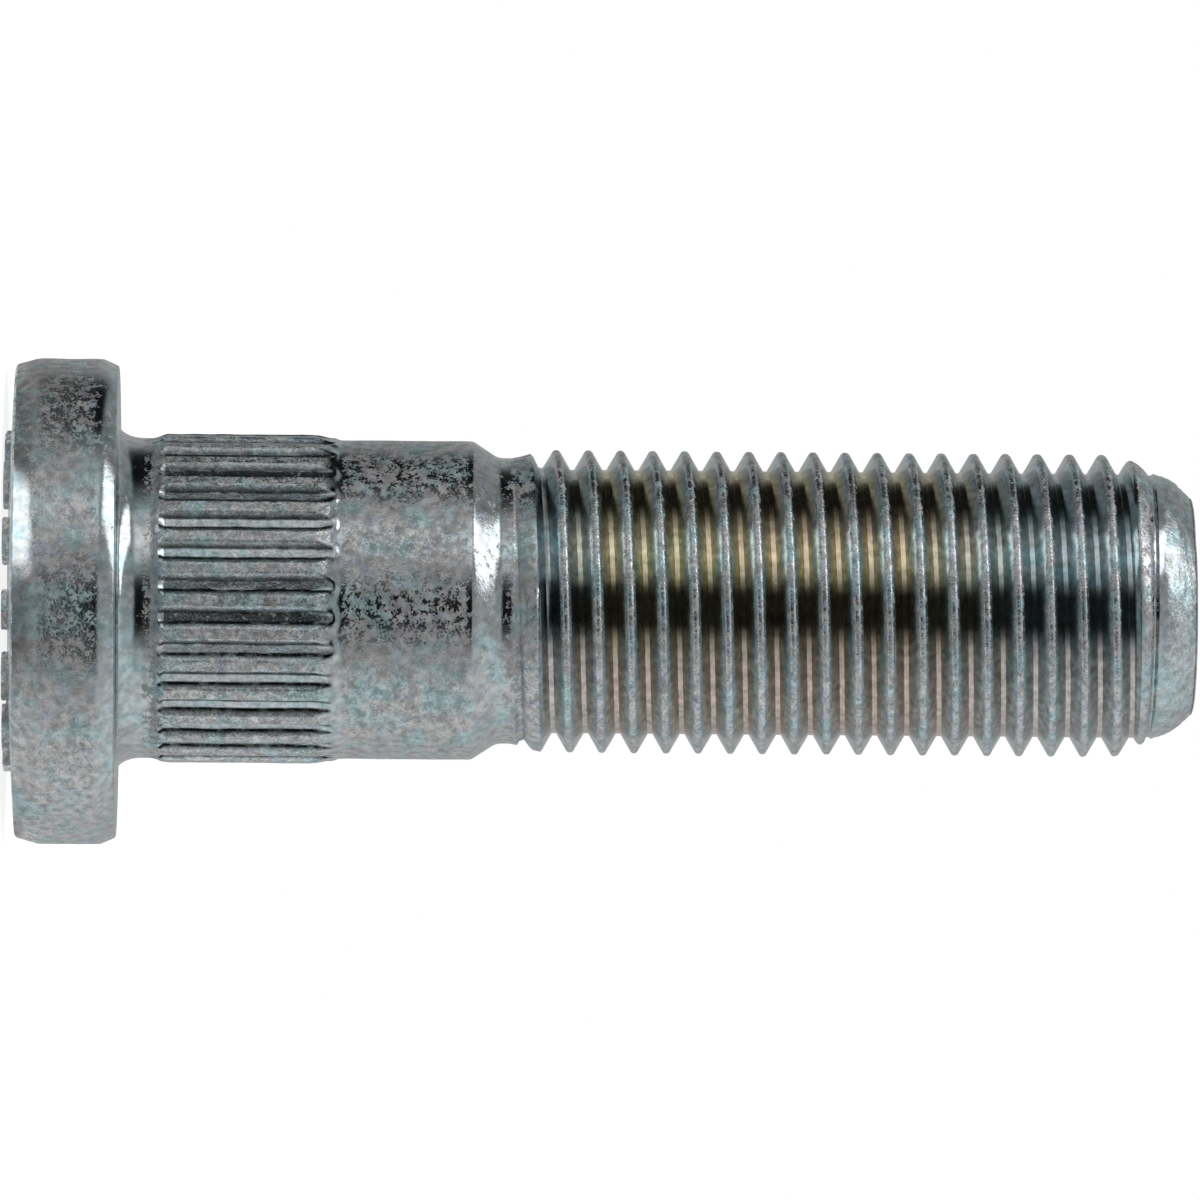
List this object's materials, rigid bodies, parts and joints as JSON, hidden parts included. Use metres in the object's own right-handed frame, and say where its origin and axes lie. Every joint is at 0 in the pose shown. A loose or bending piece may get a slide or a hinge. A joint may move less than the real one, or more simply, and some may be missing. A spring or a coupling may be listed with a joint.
{
  "type": "wheel stud",
  "caption": "Press-in wheel stud with a round flat head, a serrated body, a plain shoulder, a fine right-hand thread and a rounded lead-in tip.",
  "frame": {"origin": "on the stud's axis, in the plane that the pads of its head face stand on", "axes": "+Z along the shank, from the head to the tip; X and Y across the axis"},
  "size_m": [0.0189, 0.0188, 0.0463],
  "materials": {
    "zinc_plated_steel": "electroplated zinc with a clear passivate over thread-rolled, forged steel; satin grey"
  },
  "bodies": {
    "root": {"wheel_stud": "zinc_plated_steel"}
  },
  "joints": []
}
